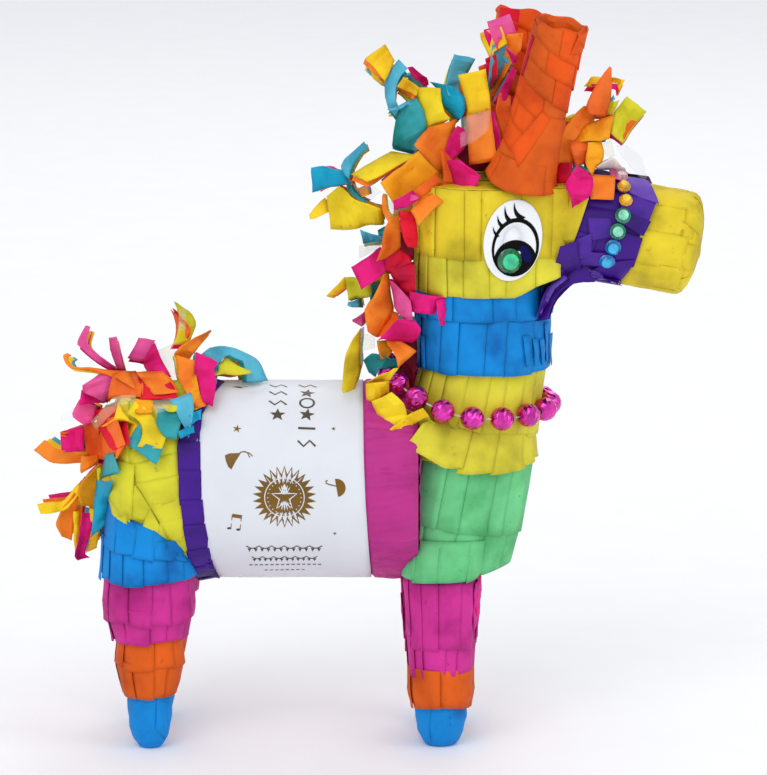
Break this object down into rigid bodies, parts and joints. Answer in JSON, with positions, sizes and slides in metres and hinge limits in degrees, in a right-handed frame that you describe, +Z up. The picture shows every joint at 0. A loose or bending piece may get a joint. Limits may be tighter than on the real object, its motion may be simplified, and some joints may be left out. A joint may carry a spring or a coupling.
{
  "type": "tabletop donkey pinata",
  "caption": "Small standing donkey pinata of chipboard tubes wrapped in fringed tissue paper, with a hollow barrel body, a fill flap and a bead necklace.",
  "frame": {"origin": "on the table, under the middle of the bounding box", "axes": "+X the way the donkey faces, +Y its left side, +Z up"},
  "size_m": [0.2656, 0.084, 0.2923],
  "materials": {
    "chipboard": "matt grey-brown chipboard",
    "white_paper": "smooth white paper with a printed gold pattern",
    "purple_crepe": "crinkled crepe paper",
    "pink_crepe": "crinkled crepe paper",
    "yellow_tissue": "thin creased tissue",
    "blue_tissue": "thin creased tissue",
    "green_tissue": "thin creased tissue",
    "orange_tissue": "thin creased tissue",
    "mixed_tissue": "strips of tissue in pink, orange, yellow, teal and blue, and clear film",
    "gold_sticker": "metallic gold paper",
    "eye_paper": "glossy white sticker",
    "gems": "faceted acrylic",
    "beads": "faceted metallic beads",
    "thread": "thin clear thread"
  },
  "bodies": {
    "body": {"barrel_front_cap": "chipboard", "barrel_tube": "chipboard", "belly_band": "white_paper", "chest_bottom_cap": "chipboard", "chest_fringe_lower": "green_tissue", "chest_fringe_upper": "green_tissue", "chest_tube": "chipboard", "chin_twist": "purple_crepe", "collar_lower": "yellow_tissue", "collar_upper": "yellow_tissue", "ear_tube_left": "chipboard", "ear_tube_right": "chipboard", "ear_wrap_left": "orange_tissue", "ear_wrap_right": "orange_tissue", "eye_gems": "gems", "eye_sticker_left": "eye_paper", "eye_sticker_right": "eye_paper", "forelock_strips": "mixed_tissue", "front_foot_wrap_left": "blue_tissue", "front_foot_wrap_right": "blue_tissue", "front_leg_core_left": "chipboard", "front_leg_core_right": "chipboard", "front_leg_orange_fringe_left": "orange_tissue", "front_leg_orange_fringe_right": "orange_tissue", "front_leg_pink_fringe_left": "pink_crepe", "front_leg_pink_fringe_right": "pink_crepe", "head_fringe_lower": "yellow_tissue", "head_fringe_upper": "yellow_tissue", "head_top_cap": "chipboard", "mane_strips": "mixed_tissue", "muzzle_end_cap": "chipboard", "muzzle_tube": "chipboard", "neck_fringe_lower": "blue_tissue", "neck_fringe_upper": "blue_tissue", "neck_tube": "chipboard", "nose_gems": "gems", "noseband": "purple_crepe", "pink_shoulder_band": "pink_crepe", "purple_rear_band": "purple_crepe", "rear_foot_wrap_left": "blue_tissue", "rear_foot_wrap_right": "blue_tissue", "rear_leg_core_left": "chipboard", "rear_leg_core_right": "chipboard", "rear_leg_orange_fringe_left": "orange_tissue", "rear_leg_orange_fringe_right": "orange_tissue", "rear_leg_pink_fringe_left": "pink_crepe", "rear_leg_pink_fringe_right": "pink_crepe", "rear_thigh_fringe_left": "blue_tissue", "rear_thigh_fringe_right": "blue_tissue", "rump_cap": "chipboard", "rump_wrap": "yellow_tissue", "snout_wrap": "yellow_tissue", "tail_strips": "mixed_tissue", "topknot_strips": "mixed_tissue"},
    "fill_flap": {"fill_flap_board": "chipboard", "fill_flap_paper": "white_paper", "flap_seal_sticker": "gold_sticker"},
    "necklace": {"necklace_thread": "thread", "necklace_beads": "beads", "necklace_knot": "thread"}
  },
  "joints": [
    {"name": "flap_hinge", "type": "hinge", "parent": "body", "child": "fill_flap", "pos_m": [-0.025, 0.00887, 0.14344], "axis": [1, 0, 0], "range_deg": [0, 110]},
    {"name": "necklace_lift", "type": "slide", "parent": "body", "child": "necklace", "axis": [0.1822, 0, 0.9833], "range_m": [0, 0.004]}
  ]
}
